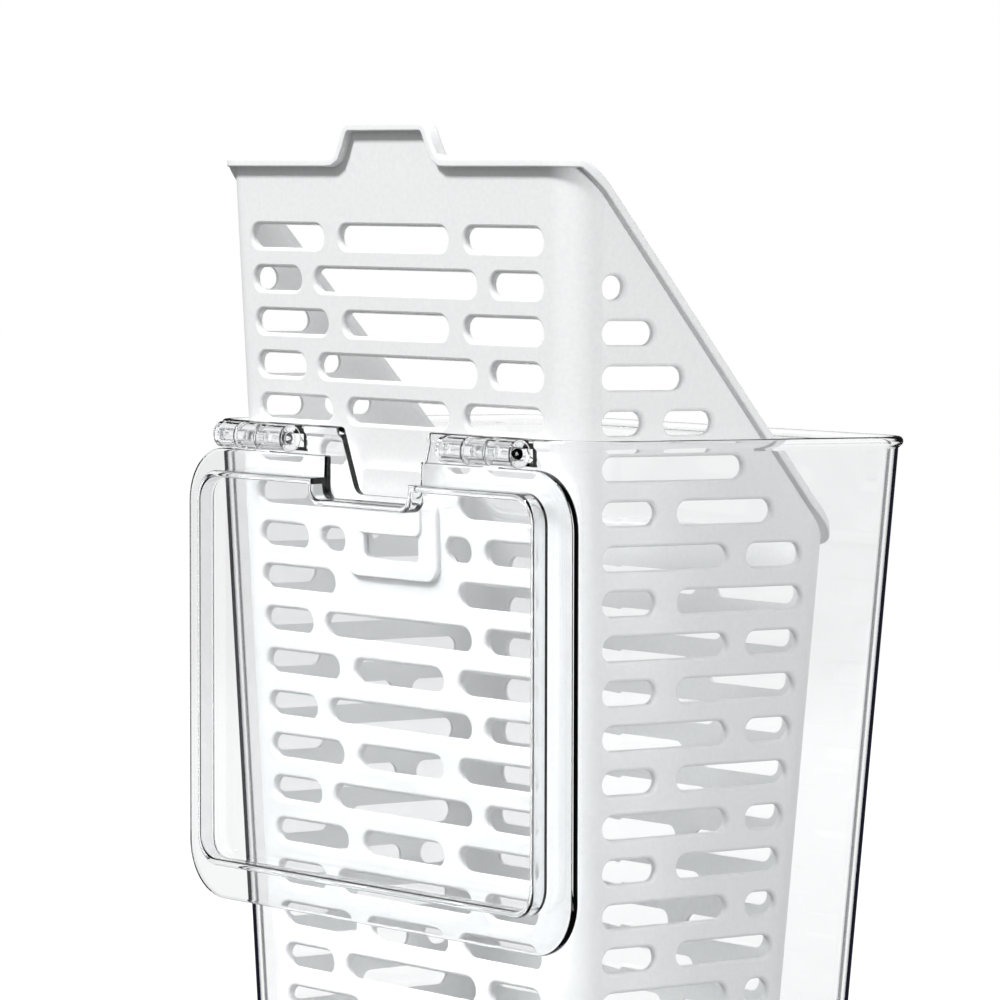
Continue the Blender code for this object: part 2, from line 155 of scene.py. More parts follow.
# ---- slots in the insert ----
ROW_PITCH = 10 * MM
ROW_COUNT = 20
FIRST_ROW_DROP = 18.3 * MM
SLOT_HEIGHT = 5.3 * MM
SLOT_EDGE = 1.0 * MM
RIM_LEAN = 12
FRONT_EDGE_MARGIN = 11.0 * MM
FRONT_SPLITS = ((26.8 * MM, 6.1 * MM), (17.6 * MM, 5.3 * MM))
SIDE_FRONT_MARGIN = 8.1 * MM
SIDE_BACK_MARGIN = 9.2 * MM
SIDE_SPLITS = ((15.0 * MM, 6.5 * MM), (36.5 * MM, 6.0 * MM))
SHORT_ROW_SHARE = 0.36
SLOPE_MARGIN = 12.0 * MM
SHORTEST_SLOT = 5.0 * MM
LOW_WALL_MARGIN = 4.0 * MM
DRAIN_PITCH = 11 * MM
DRAIN_HALF = 2.5 * MM
DRAIN_REACH = 22 * MM
DRAIN_RADIUS = 2.4 * MM
DRAINS_EACH_SIDE = 4

# ---- catch on the insert's hinge-side wall ----
CATCH_PROUD = 1.2 * MM
TONGUE_PROUD = 1.8 * MM
CATCH_HALF = 16.6 * MM
CATCH_FOOT_Z = 193.4 * MM
CATCH_TOP_Z = 213.0 * MM
WINDOW_HALF = 9.8 * MM
WINDOW_FOOT_Z = 197.6 * MM
WINDOW_TOP_Z = 208.0 * MM
TONGUE_HALF = 11.6 * MM
TONGUE_FOOT_Z = 203.4 * MM
TONGUE_TOP_Z = 218.7 * MM
CATCH_RADIUS = 4.0 * MM
TONGUE_RADIUS = 2.5 * MM
WINDOW_RADIUS = 1.5 * MM
CATCH_EDGE = 0.5 * MM
CATCH_MARGIN = 2.0 * MM

# ---- camera and studio ----
CAMERA_TARGET = Vector((39.68, -50.5, 213.5)) * MM
CAMERA_DISTANCE = 1124.2 * MM
CAMERA_AZIMUTH = math.radians(50.0)
CAMERA_ELEVATION = math.radians(2.964)
CAMERA_ROLL = math.radians(1.025)
CAMERA_LENS = 182.4
SENSOR_WIDTH = 36.0
FLOOR_RADIUS = 12.0
FLOOR_COLOUR = (0.09, 0.09, 0.09, 1)
FLOOR_GLOW = 0.955
WORLD_ON_DULL = 0.54
WORLD_ON_GLOSS = 0.04
KEY_LIGHT = {"place": (-0.3, -1.35, 1.85), "size": 0.35, "power": 52}
FILL_LIGHT = {"place": (1.8, 0.05, 0.16), "size": 0.3, "power": 19}
BACK_LIGHT = {"place": (-1.1, 1.3, 0.9), "size": 0.6, "power": 20}

# ---- clear plastic: colours, and the painted edge shade: how edge-on each begins and ends to darken ----
WALL_COLOUR = (0.962, 0.966, 0.968)
LID_COLOUR = (0.88, 0.884, 0.888)
HINGE_COLOUR = (0.98, 0.985, 0.99)
# painted shade: the dark base colours put on faces seen edge-on, standing in for dark surroundings seen in
# the plastic's edges
WALL_EDGE_PAINTED_SHADE = (0.0, 0.0, 0.0002)
THIN_EDGE_PAINTED_SHADE = (0.002, 0.0022, 0.006)
HINGE_EDGE_PAINTED_SHADE = (0.3, 0.31, 0.34)
LAMP_COLOUR = (0.97, 0.972, 0.975, 1)
FLAT_DARKENS = (0.92, 0.99)
CORNER_DARKENS = (0.55, 0.65)
LID_EDGE_DARKENS = (0.55, 0.8)
HINGE_DARKENS = (0.72, 0.98)
# how far up a face looks, from upright to level, and how much of the painted edge shade stays at each:
# upright faces are painted darker than level ones
UPRIGHT_TO_LEVEL = (0.15, 0.8, 1.0, 0.22)
FLAT_NORMAL = 0.985
CLEAR_IOR = 1.49
CLEAR_BUMP = {"scale": 45.0, "strength": 0.05, "distance": 0.4 * MM, "detail": 2.0}

# ---- white plastic ----
WHITE_SPECULAR = 0.45
WHITE_BUMP = {"scale": 900.0, "strength": 0.12, "distance": 0.15 * MM, "detail": 3.0}
WHITE_DARKER = (0.80, 0.81, 0.815, 1)
WHITE_LIGHTER = (0.84, 0.85, 0.85, 1)
WHITE_SPREAD = (0.3, 0.7)
WHITE_ROUGHNESS = (0.36, 0.5)

# ---- cutters and smoothness ----
CUT_REACH = 5 * MM
CUT_MARGIN = 1 * MM
FAR = 200 * MM
WELD_DISTANCE = 0.01 * MM
CORNER_STEPS = 12
BEAD_STEPS = 10
ROUND_STEPS = 6
FOOT_STEPS = 5
EDGE_STEPS = 4
BARREL_STEPS = 32
PIN_STEPS = 24


# ---- outlines ----

def arc(centre, radius, start_deg, end_deg, steps=CORNER_STEPS):
    """Points on an arc in the plane, from one angle to the other."""
    points = []
    for i in range(steps + 1):
        angle = math.radians(start_deg + (end_deg - start_deg) * i / steps)
        points.append((centre[0] + radius * math.cos(angle), centre[1] + radius * math.sin(angle)))
    return points


def rounded_box(x_low, x_high, y_low, y_high, radius, steps=CORNER_STEPS):
    """A rectangle with rounded corners, anticlockwise."""
    return (arc((x_low + radius, y_low + radius), radius, 180, 270, steps)
            + arc((x_high - radius, y_low + radius), radius, 270, 360, steps)
            + arc((x_high - radius, y_high - radius), radius, 0, 90, steps)
            + arc((x_low + radius, y_high - radius), radius, 90, 180, steps))


def slot_outline(low, high, foot, grow):
    """A long slot with half-round ends, moved out by grow."""
    radius = SLOT_HEIGHT / 2
    level = foot + radius
    middle = (low + high) / 2
    reach = max((high - low) / 2 - radius, 0.01 * MM)
    return (arc((middle - reach, level), radius + grow, 90, 270)
            + arc((middle + reach, level), radius + grow, -90, 90))


def mirrored(low, high):
    """The same stretch of X on the right and on the left."""
    return (low, high), (-high, -low)


# ---- meshes ----

def skin(bm, rings, closed=False):
    """Skin a row of equal rings; cap both ends, or close the row back onto its first ring."""
    loops = [[bm.verts.new(point) for point in ring] for ring in rings]
    count = len(loops[0])
    following = loops[1:] + loops[:1] if closed else loops[1:]
    for here, there in zip(loops, following):
        for i in range(count):
            j = (i + 1) % count
            bm.faces.new((here[i], here[j], there[j], there[i]))
    if not closed:
        bm.faces.new(reversed(loops[0]))
        bm.faces.new(loops[-1])


def along_x(outline, low, high):
    """Rings of a (y, z) outline at two places on X."""
    return [[(x, y, z) for y, z in outline] for x in (low, high)]


def along_y(outline, low, high):
    """Rings of an (x, z) outline at two places on Y."""
    return [[(x, y, z) for x, z in outline] for y in (low, high)]


def rod_x(low, high, radius, edge, y=0.0, z=0.0, steps=BARREL_STEPS):
    """Rings of a rod along X whose end edges are rounded."""
    rings = []
    turns = [90 * i / EDGE_STEPS for i in range(EDGE_STEPS + 1)]
    for x_edge, side, order in ((low + edge, -1, turns[::-1]), (high - edge, 1, turns)):
        for turn in order:
            angle = math.radians(turn)
            x = x_edge + side * edge * math.sin(angle)
            ring_radius = radius - edge * (1 - math.cos(angle))
            circle = arc((y, z), ring_radius, 0, 360 - 360 / steps, steps - 1)
            rings.append([(x, a, b) for a, b in circle])
    return rings


def new_mesh_object(name, mesh_maker):
    """Link a new object whose mesh is filled by mesh_maker(bm)."""
    bm = bmesh.new()
    mesh_maker(bm)
    bmesh.ops.recalc_face_normals(bm, faces=bm.faces)
    mesh = bpy.data.meshes.new(name)
    bm.to_mesh(mesh)
    bm.free()
    obj = bpy.data.objects.new(name, mesh)
    bpy.context.scene.collection.objects.link(obj)
    return obj


def apply_modifiers(obj):
    """Put the evaluated mesh in the object's place, with no modifier left."""
    bpy.context.view_layer.update()
    evaluated = obj.evaluated_get(bpy.context.evaluated_depsgraph_get())
    mesh = bpy.data.meshes.new_from_object(evaluated)
    obj.modifiers.clear()
    old = obj.data
    obj.data = mesh
    bpy.data.meshes.remove(old)


def combine(target, tool_maker, operation):
    """Add, cut or keep the overlap with a tool made for the purpose."""
    tool = tool_maker if isinstance(tool_maker, bpy.types.Object) else new_mesh_object("tool", tool_maker)
    modifier = target.modifiers.new("boolean", "BOOLEAN")
    modifier.operation = operation
    modifier.solver = "EXACT"
    modifier.object = tool
    apply_modifiers(target)
    bpy.data.objects.remove(tool, do_unlink=True)


def soften(obj, width, angle_deg=50, segments=3):
    """Round the sharp edges."""
    weld(obj)
    bevel = obj.modifiers.new("bevel", "BEVEL")
    bevel.width = width
    bevel.segments = segments
    bevel.limit_method = "ANGLE"
    bevel.angle_limit = math.radians(angle_deg)
    bevel.use_clamp_overlap = True
    bevel.miter_outer = "MITER_ARC"
    apply_modifiers(obj)


def weld(obj):
    """Merge doubled points and dissolve needless edges on flat stretches."""
    bm = bmesh.new()
    bm.from_mesh(obj.data)
    bmesh.ops.remove_doubles(bm, verts=bm.verts, dist=WELD_DISTANCE)
    bmesh.ops.dissolve_degenerate(bm, edges=bm.edges, dist=WELD_DISTANCE)
    bm.to_mesh(obj.data)
    bm.free()


def shade(obj, angle_deg=35):
    """Smooth shading that follows the large faces, with sharp edges kept."""
    obj.data.shade_smooth()
    obj.data.set_sharp_from_angle(angle=math.radians(angle_deg))
    normals = obj.modifiers.new("normals", "WEIGHTED_NORMAL")
    normals.keep_sharp = True
    normals.weight = 100
    apply_modifiers(obj)


def join(objects):
    """Put the meshes of several objects into the first one."""
    target = objects[0]
    bm = bmesh.new()
    for obj in objects:
        bm.from_mesh(obj.data)
    bm.to_mesh(target.data)
    bm.free()
    for obj in objects[1:]:
        bpy.data.objects.remove(obj, do_unlink=True)
    return target


# ---- materials ----

def node(tree, kind, **values):
    """Add a shader node and set its named inputs."""
    made = tree.nodes.new(kind)
    for name, value in values.items():
        made.inputs[name.replace("_", " ")].default_value = value
    return made


def moulded_bump(tree, shader, scale, strength, distance, detail):
    """A fine uneven surface, as moulding leaves it."""
    place = tree.nodes.new("ShaderNodeTexCoord")
    noise = node(tree, "ShaderNodeTexNoise", Scale=scale, Detail=detail, Roughness=0.5)
    bump = node(tree, "ShaderNodeBump", Strength=strength, Distance=distance)
    tree.links.new(place.outputs["Object"], noise.inputs["Vector"])
    tree.links.new(noise.outputs["Fac"], bump.inputs["Height"])
    tree.links.new(bump.outputs["Normal"], shader.inputs["Normal"])
    return noise


def scaled(tree, source, low, high, to_low=0.0, to_high=1.0):
    """Map a value from one range to another, clamped."""
    scale = tree.nodes.new("ShaderNodeMapRange")
    scale.inputs["From Min"].default_value = low
    scale.inputs["From Max"].default_value = high
    scale.inputs["To Min"].default_value = to_low
    scale.inputs["To Max"].default_value = to_high
    tree.links.new(source, scale.inputs["Value"])
    return scale.outputs["Result"]


def maths(tree, operation, first, second=None):
    """Add a maths step on one or two linked values."""
    step = tree.nodes.new("ShaderNodeMath")
    step.operation = operation
    tree.links.new(first, step.inputs[0])
    if second is not None:
        tree.links.new(second, step.inputs[1])
    return step.outputs["Value"]


def clear_plastic(name, colour, darkens, painted_edge_shade):
    """Clear plastic that lets lamps through, with painted shade: its colour goes dark where its upright
    faces are seen edge-on.
    """
    material = bpy.data.materials.new(name)
    material.use_nodes = True
    tree = material.node_tree
    shader = tree.nodes["Principled BSDF"]
    shader.inputs["Transmission Weight"].default_value = 1.0
    shader.inputs["IOR"].default_value = CLEAR_IOR
    shader.inputs["Roughness"].default_value = 0.0
    facing = node(tree, "ShaderNodeLayerWeight", Blend=0.5)
    edge_on = scaled(tree, facing.outputs["Facing"], *darkens)
    place = tree.nodes.new("ShaderNodeTexCoord")
    axes = tree.nodes.new("ShaderNodeSeparateXYZ")
    tree.links.new(place.outputs["Normal"], axes.inputs["Vector"])
    upright = scaled(tree, maths(tree, "ABSOLUTE", axes.outputs["Z"]), *UPRIGHT_TO_LEVEL)
    # painted shade: the base colour is mixed towards the dark edge shade where a face is seen edge-on,
    # more on upright faces than on level ones
    tint = tree.nodes.new("ShaderNodeMix")
    tint.data_type = "RGBA"
    tint.inputs["A"].default_value = (*colour, 1)
    tint.inputs["B"].default_value = (*painted_edge_shade, 1)
    tree.links.new(maths(tree, "MULTIPLY", edge_on, upright), tint.inputs["Factor"])
    tree.links.new(tint.outputs["Result"], shader.inputs["Base Color"])
    moulded_bump(tree, shader, **CLEAR_BUMP)
    path = tree.nodes.new("ShaderNodeLightPath")
    through = node(tree, "ShaderNodeBsdfTransparent", Color=LAMP_COLOUR)
    mix = tree.nodes.new("ShaderNodeMixShader")
    tree.links.new(path.outputs["Is Shadow Ray"], mix.inputs["Fac"])
    tree.links.new(shader.outputs["BSDF"], mix.inputs[1])
    tree.links.new(through.outputs["BSDF"], mix.inputs[2])
    tree.links.new(mix.outputs["Shader"], tree.nodes["Material Output"].inputs["Surface"])
    return material


def white_plastic():
    """Opaque white with a fine satin mould texture."""
    material = bpy.data.materials.new("white_plastic")
    material.use_nodes = True
    tree = material.node_tree
    shader = tree.nodes["Principled BSDF"]
    shader.inputs["Specular IOR Level"].default_value = WHITE_SPECULAR
    noise = moulded_bump(tree, shader, **WHITE_BUMP)
    tint = tree.nodes.new("ShaderNodeValToRGB")
    low, high = tint.color_ramp.elements
    low.color, high.color = WHITE_DARKER, WHITE_LIGHTER
    low.position, high.position = WHITE_SPREAD
    gloss = tree.nodes.new("ShaderNodeMapRange")
    gloss.inputs["To Min"].default_value = WHITE_ROUGHNESS[0]
    gloss.inputs["To Max"].default_value = WHITE_ROUGHNESS[1]
    tree.links.new(noise.outputs["Fac"], tint.inputs["Fac"])
    tree.links.new(noise.outputs["Fac"], gloss.inputs["Value"])
    tree.links.new(tint.outputs["Color"], shader.inputs["Base Color"])
    tree.links.new(gloss.outputs["Result"], shader.inputs["Roughness"])
    return material


def finish_piece(obj, material, body, slot, *nodes):
    """Give a piece its material and its body, and hide the CAD nodes it stands for; its slot is not used.
    """
    obj.data.materials.clear()
    obj.data.materials.append(material)
    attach(obj, body)
    if nodes:
        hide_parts(*nodes)


# ---- container ----

def container_ring(z, grow):
    """The container's outline at a height, moved out by grow."""
    drop = HEIGHT - z
    half_x = RIM_HALF_X - BEAD_OUT - SIDE_SLOPE * drop + grow
    half_y = RIM_HALF_Y - BEAD_OUT - FRONT_SLOPE * drop + grow
    outline = rounded_box(-half_x, half_x, -half_y, half_y, CORNER_RADIUS + grow)
    return [(x, y, z) for x, y in outline]


def container_profile():
    """(grow, height) from the foot's edge up the outside, over the bead and down the inside."""
    bead = BEAD_HEIGHT / 2
    bead_middle = HEIGHT - bead
    inner_edge = (INNER_RIM_EDGE - WALL, HEIGHT - INNER_RIM_EDGE)
    profile = arc((-FOOT_RADIUS, FOOT_RADIUS), FOOT_RADIUS, 270, 360, ROUND_STEPS)
    profile += [(0, HEIGHT / 2), (0, HEIGHT - BEAD_HEIGHT - BEAD_GAP)]
    profile += arc((BEAD_OUT - bead, bead_middle), bead, BEAD_START, 90, BEAD_STEPS)[1:]
    profile += arc(inner_edge, INNER_RIM_EDGE, 90, 180, FOOT_STEPS)
    profile += [(-WALL, HEIGHT / 2)]
    centre = (-WALL - INNER_FOOT_RADIUS, FLOOR + INNER_FOOT_RADIUS)
    profile += arc(centre, INNER_FOOT_RADIUS, 0, -90, ROUND_STEPS)
    return profile


def container_shell(bm):
    skin(bm, [container_ring(z, grow) for grow, z in container_profile()])


def notch_cutter(bm):
    foot = HEIGHT - NOTCH_DEPTH
    lean = math.degrees(math.atan2(NOTCH_TOP_HALF - NOTCH_FOOT_HALF, NOTCH_DEPTH))
    right = arc((NOTCH_FOOT_HALF - NOTCH_RADIUS, foot + NOTCH_RADIUS), NOTCH_RADIUS, 270, 360 - lean)
    right.append((NOTCH_TOP_HALF, HEIGHT + CUT_MARGIN))
    left = [(-x, z) for x, z in reversed(right)]
    skin(bm, along_y(right + left, -RIM_HALF_Y - CUT_MARGIN, -RIM_HALF_Y + CORNER_RADIUS))


def container_barrels(bm):
    ends = KNUCKLE_ENDS
    for low, high in mirrored(ends[0], ends[1]) + mirrored(ends[4], ends[5]):
        skin(bm, rod_x(low, high, KNUCKLE_RADIUS, KNUCKLE_EDGE, HINGE_Y, HINGE_Z))


def container_arms(bm):
    """Short webs that tie the barrels to the rim."""
    root_y = -RIM_HALF_Y + BEAD_OUT + WALL / 2
    foot = HINGE_Z - KNUCKLE_RADIUS + ARM_INSET
    top = HEIGHT - ARM_INSET
    ends = KNUCKLE_ENDS
    for low, high in mirrored(ends[0], ends[1]) + mirrored(ends[4], ends[5]):
        outline = [(HINGE_Y, foot), (root_y, foot), (root_y, top), (HINGE_Y, top)]
        skin(bm, along_x(outline, low + KNUCKLE_EDGE, high - KNUCKLE_EDGE))


def container_bores(bm):
    for low, high in mirrored(KNUCKLE_ENDS[0] + PIN_END_WALL, KNUCKLE_ENDS[5] + CUT_MARGIN):
        skin(bm, rod_x(low, high, PIN_RADIUS + PIN_GAP, PIN_GAP, HINGE_Y, HINGE_Z, PIN_STEPS))


def give_materials(obj, flat, edges, hinge, at_hinge):
    """Flat faces, rounded or leaning ones and the hinge each get their own clear plastic, which differ in
    where their painted edge shade begins.
    """
    obj.data.materials.clear()
    for material in (flat, edges, hinge):
        obj.data.materials.append(material)
    for face in obj.data.polygons:
        if at_hinge(face.center):
            face.material_index = 2
        else:
            face.material_index = int(max(abs(a) for a in face.normal) < FLAT_NORMAL)


def make_container(flat, edges, hinge):
    container = new_mesh_object("container_clear", container_shell)
    combine(container, notch_cutter, "DIFFERENCE")
    soften(container, NOTCH_EDGE, angle_deg=55, segments=2)
    combine(container, container_arms, "UNION")
    combine(container, container_barrels, "UNION")
    combine(container, container_bores, "DIFFERENCE")
    shade(container)
    finish_piece(container, flat, "bin", "clear_plastic", "container")
    give_materials(container, flat, edges, hinge, lambda centre: centre.y < -RIM_HALF_Y)


def make_pins(material):
    low = KNUCKLE_ENDS[0] + PIN_END_WALL + PIN_GAP
    high = KNUCKLE_ENDS[5] - PIN_SET_BACK
    for name, side in (("hinge_pin_right", 1), ("hinge_pin_left", -1)):
        ends = sorted((side * low, side * high))
        rings = rod_x(*ends, PIN_RADIUS, PIN_GAP, HINGE_Y, HINGE_Z, PIN_STEPS)
        pin = new_mesh_object(name + "_clear", lambda bm: skin(bm, rings))
        shade(pin)
        finish_piece(pin, material, "bin", "clear_pin", name)


# ---- lid, drawn hanging straight down from its hinge axis ----

def lid_outline(inset, near, radius, notch_half, notch_reach, notch_radius):
    """The lid's (x, z) outline with the notch in its hinge end."""
    half = LID_HALF - inset
    foot = -LID_LENGTH + inset
    corner_x = notch_half - notch_radius
    corner_z = -notch_reach + notch_radius
    points = arc((-half + radius, foot + radius), radius, 180, 270)
    points += arc((half - radius, foot + radius), radius, 270, 360)
    points += arc((half - radius, -near - radius), radius, 0, 90)
    points.append((notch_half, -near))
    points += arc((corner_x, corner_z), notch_radius, 0, -90, ROUND_STEPS)
    points += arc((-corner_x, corner_z), notch_radius, -90, -180, ROUND_STEPS)
    points.append((-notch_half, -near))
    points += arc((-half + radius, -near - radius), radius, 90, 180)
    return points


def plate_ring(inset, y):
    outline = lid_outline(inset, LID_TOP_GAP + inset, LID_RADIUS - inset, LID_NOTCH_HALF + inset,
                          LID_NOTCH_REACH + inset, LID_NOTCH_RADIUS + inset)
    return [(x, y, z) for x, z in outline]


def rib_ring(inset, y):
    outline = lid_outline(RIB_INSET + inset, RIB_INSET + inset, RIB_RADIUS - inset,
                          LID_NOTCH_HALF + RIB_NOTCH_GAP + inset,
                          LID_NOTCH_REACH + RIB_NOTCH_GAP + inset, LID_NOTCH_RADIUS + inset)
    return [(x, y, z) for x, z in outline]


def lid_plate(bm):
    front = LID_INNER_FACE + LID_EDGE
    back = LID_INNER_FACE + LID_THICKNESS - LID_EDGE
    rings = [plate_ring(LID_EDGE - d, front - e) for d, e in arc((0, 0), LID_EDGE, 90, 0, EDGE_STEPS)]
    rings += [plate_ring(LID_EDGE - d, back + e) for d, e in arc((0, 0), LID_EDGE, 0, 90, EDGE_STEPS)]
    skin(bm, rings)


def lid_rib(bm):
    """The standing rib that drops inside the container's rim, with a round tip."""
    radius = RIB_THICKNESS / 2
    root = LID_INNER_FACE + LID_THICKNESS / 4
    tip = LID_INNER_FACE - RIB_HEIGHT + radius
    rings = [rib_ring(0, root)]
    rings += [rib_ring(radius - d, tip - e) for d, e in arc((0, 0), radius, 0, 180, 2 * EDGE_STEPS)]
    rings.append(rib_ring(RIB_THICKNESS, root))
    skin(bm, rings, closed=True)


def lid_lugs(bm):
    """The leaves that run from the lid's barrels down into its plate."""
    front = LID_INNER_FACE + LUG_INSET
    back = LID_INNER_FACE + LID_THICKNESS - LUG_INSET
    foot = -LID_TOP_GAP - LUG_REACH
    outline = [(front, foot), (back, foot), (back, 0), (front, 0)]
    for low, high in mirrored(KNUCKLE_ENDS[2], KNUCKLE_ENDS[3]):
        skin(bm, along_x(outline, low + KNUCKLE_EDGE, high - KNUCKLE_EDGE))


def lid_barrels(bm):
    for low, high in mirrored(KNUCKLE_ENDS[2], KNUCKLE_ENDS[3]):
        skin(bm, rod_x(low, high, KNUCKLE_RADIUS, KNUCKLE_EDGE))


def lid_bores(bm):
    for low, high in mirrored(KNUCKLE_ENDS[1], KNUCKLE_ENDS[4]):
        skin(bm, rod_x(low, high, PIN_RADIUS + PIN_GAP, PIN_GAP / 2, steps=PIN_STEPS))


def make_lid(flat, edges, hinge):
    lid = new_mesh_object("lid_clear", lid_plate)
    combine(lid, lid_rib, "UNION")
    combine(lid, lid_lugs, "UNION")
    combine(lid, lid_barrels, "UNION")
    combine(lid, lid_bores, "DIFFERENCE")
    lid.data.transform(Matrix.Translation((0, HINGE_Y, HINGE_Z)) @ Matrix.Rotation(LID_LEAN, 4, "X"))
    shade(lid)
    finish_piece(lid, flat, "lid", "clear_plastic", "lid")
    give_materials(lid, flat, edges, hinge, lambda centre: centre.z > HINGE_Z - KNUCKLE_RADIUS)


# ---- insert ----

def insert_front(z):
    """Y of the insert's hinge-side face at a height."""
    rim_face = -RIM_HALF_Y + BEAD_OUT + WALL + INSERT_GAP
    return rim_face - FRONT_SLOPE * (z - HEIGHT)


def insert_back(z):
    """Y of the outside of the insert's far wall at a height."""
    return insert_front(INSERT_TOP) + INSERT_BACK_DEPTH - FRONT_SLOPE * (INSERT_TOP - z)


def insert_half(z):
    """Half of the insert's width at a height."""
    return INSERT_TOP_HALF - INSERT_SIDE_SLOPE * (INSERT_TOP - z)


def insert_ring(z, grow):
    half = insert_half(z) + grow
    outline = rounded_box(-half, half, insert_front(z) - grow, insert_back(z) + grow, INSERT_RADIUS + grow)
    return [(x, y, z) for x, y in outline]


def insert_cup(bm):
    top = insert_high.z + CUT_REACH
    foot = INSERT_FOOT_RADIUS
    inner = INSERT_BASE + INSERT_WALL
    profile = arc((-foot, INSERT_BASE + foot), foot, 270, 360, FOOT_STEPS)
    profile += [(0, top), (-INSERT_WALL, top)]
    profile += arc((-INSERT_WALL - foot, inner + foot), foot, 0, -90, FOOT_STEPS)
    skin(bm, [insert_ring(z, grow) for grow, z in profile])


def tab_rise(x):
    """How far the front edge stands above the level at x, for the grip tab."""
    t = (TAB_FOOT_HALF - abs(x)) / (TAB_FOOT_HALF - TAB_TOP_HALF)
    t = min(max(t, 0.0), 1.0)
    return TAB_HEIGHT * t ** 3 / (t ** 3 + (1 - t) ** 3)


def edge_height(x, y):
    """Height of the insert's top edge over a place on its outline."""
    if y < SLOPE_START_Y:
        return INSERT_TOP + tab_rise(x)
    return max(INSERT_TOP - (y - SLOPE_START_Y) * CLIMB, INSERT_TOP - LOW_WALL_DROP)


def keep_below_sides(bm):
    """Everything under the level front edge and the sloping sides."""
    drop = WALL_BELOW_LIP
    low = INSERT_TOP - LOW_WALL_DROP - drop
    line = [(-FAR, INSERT_TOP - drop), (SLOPE_START_Y, INSERT_TOP - drop), (SLOPE_END_Y, low), (FAR, low)]
    skin(bm, along_x(line + [(FAR, 0), (-FAR, 0)], -FAR, FAR))


def keep_below_tab(bm):
    foot = INSERT_TOP - CUT_REACH
    reach = TAB_FOOT_HALF - 2 * WALL_BELOW_LIP
    places = [reach * (2 * i / TAB_STEPS - 1) for i in range(TAB_STEPS + 1)]
    line = [(x, INSERT_TOP + tab_rise(x) - WALL_BELOW_LIP) for x in places]
    skin(bm, along_y(line + [(reach, foot), (-reach, foot)], insert_front(INSERT_TOP) - CUT_REACH,
                     SLOPE_START_Y))


def lip_places():
    """Fractions round the insert's outline, close together where the edge bends."""
    places = []
    for side, steps in enumerate(LIP_SIDE_STEPS):
        places += [(side, 0, i / steps) for i in range(steps)]
        places += [(side, 1, i / CORNER_STEPS) for i in range(CORNER_STEPS)]
    return places


def outline_place(z, side, corner, share):
    """A point of the insert's outline at a height and the way out of the wall there."""
    half = insert_half(z) - INSERT_RADIUS
    low = insert_front(z) + INSERT_RADIUS
    high = insert_back(z) - INSERT_RADIUS
    corners = [Vector((-half, low, z)), Vector((half, low, z)), Vector((half, high, z)),
               Vector((-half, high, z))]
    start_angle = math.radians(-90 + 90 * side)
    if corner:
        angle = start_angle + math.radians(90) * share
        centre = corners[(side + 1) % 4]
    else:
        angle = start_angle
        centre = corners[side].lerp(corners[(side + 1) % 4], share)
    out = Vector((math.cos(angle), math.sin(angle), 0))
    return centre + out * INSERT_RADIUS, out


def edge_place(place):
    """The top edge's point over a place on the outline, on the leaning wall."""
    z = INSERT_TOP
    for _ in range(HEIGHT_PASSES):
        point, out = outline_place(z, *place)
        z = edge_height(point.x, point.y)
    return outline_place(z, *place)


def lip_profile():
    """The lip's (out, down) section, a flat bar that is rounder above than below."""
    inside = -INSERT_WALL - LIP_IN
    foot = LIP_HEIGHT - LIP_FOOT_EDGE
    return (arc((inside + LIP_EDGE, LIP_EDGE), LIP_EDGE, 180, 270, EDGE_STEPS)
            + arc((LIP_OUT - LIP_EDGE, LIP_EDGE), LIP_EDGE, 270, 360, EDGE_STEPS)
            + arc((LIP_OUT - LIP_FOOT_EDGE, foot), LIP_FOOT_EDGE, 0, 90, EDGE_STEPS)
            + arc((inside + LIP_FOOT_EDGE, foot), LIP_FOOT_EDGE, 90, 180, EDGE_STEPS))


def lip(bm):
    """The lip swept round the insert's top edge."""
    path = [edge_place(place) for place in lip_places()]
    count = len(path)
    rings = []
    for i in range(count):
        point, out = path[i]
        along = (path[(i + 1) % count][0] - path[i - 1][0]).normalized()
        down = out.cross(along).normalized()
        if down.z > 0:
            down.negate()
        rings.append([point + out * a + down * b for a, b in lip_profile()])
    skin(bm, rings, closed=True)


# ---- slots ----

def row_foot(row):
    return INSERT_TOP - FIRST_ROW_DROP - SLOT_HEIGHT / 2 - ROW_PITCH * row


def front_slots(row, foot):
    """Stretches of X that are open in a row of the hinge-side or far wall."""
    end, bridge = FRONT_SPLITS[row % 2]
    half = insert_half(foot) - FRONT_EDGE_MARGIN
    middle = half - end - bridge
    return [(-half, -half + end), (-middle, middle), (half - end, half)]


def side_slots(row, foot):
    """Stretches of Y that are open in a row of a side wall, cut short under the slope."""
    start = insert_front(foot) + SIDE_FRONT_MARGIN
    end = insert_back(foot) - SIDE_BACK_MARGIN
    end = min(end, SLOPE_START_Y + (INSERT_TOP - foot - SLOT_HEIGHT) / CLIMB - SLOPE_MARGIN)
    near, bridge = SIDE_SPLITS[row % 2]
    if row % 2 == 0:
        near = min(near, SHORT_ROW_SHARE * (end - start))
    if end - start - near - bridge < SHORTEST_SLOT:
        near = end - start
    stretches = [(start, start + near), (start + near + bridge, end)]
    return [(low, high) for low, high in stretches if high - low > SHORTEST_SLOT]


def open_beside_catch(low, high, foot):
    """The parts of a slot that clear the catch."""
    edge = CATCH_HALF + CATCH_MARGIN
    level = CATCH_FOOT_Z - SLOT_HEIGHT < foot < TONGUE_TOP_Z
    if not level or low >= edge or high <= -edge:
        return [(low, high)]
    parts = [(low, min(high, -edge)), (max(low, edge), high)]
    return [(a, b) for a, b in parts if b - a > SHORTEST_SLOT]


def on_front(along, z, depth):
    return along, insert_front(z) + depth, z


def on_back(along, z, depth):
    return along, insert_back(z) - depth, z


def on_right(along, z, depth):
    return insert_half(z) - depth, along, z


def on_left(along, z, depth):
    return depth - insert_half(z), along, z


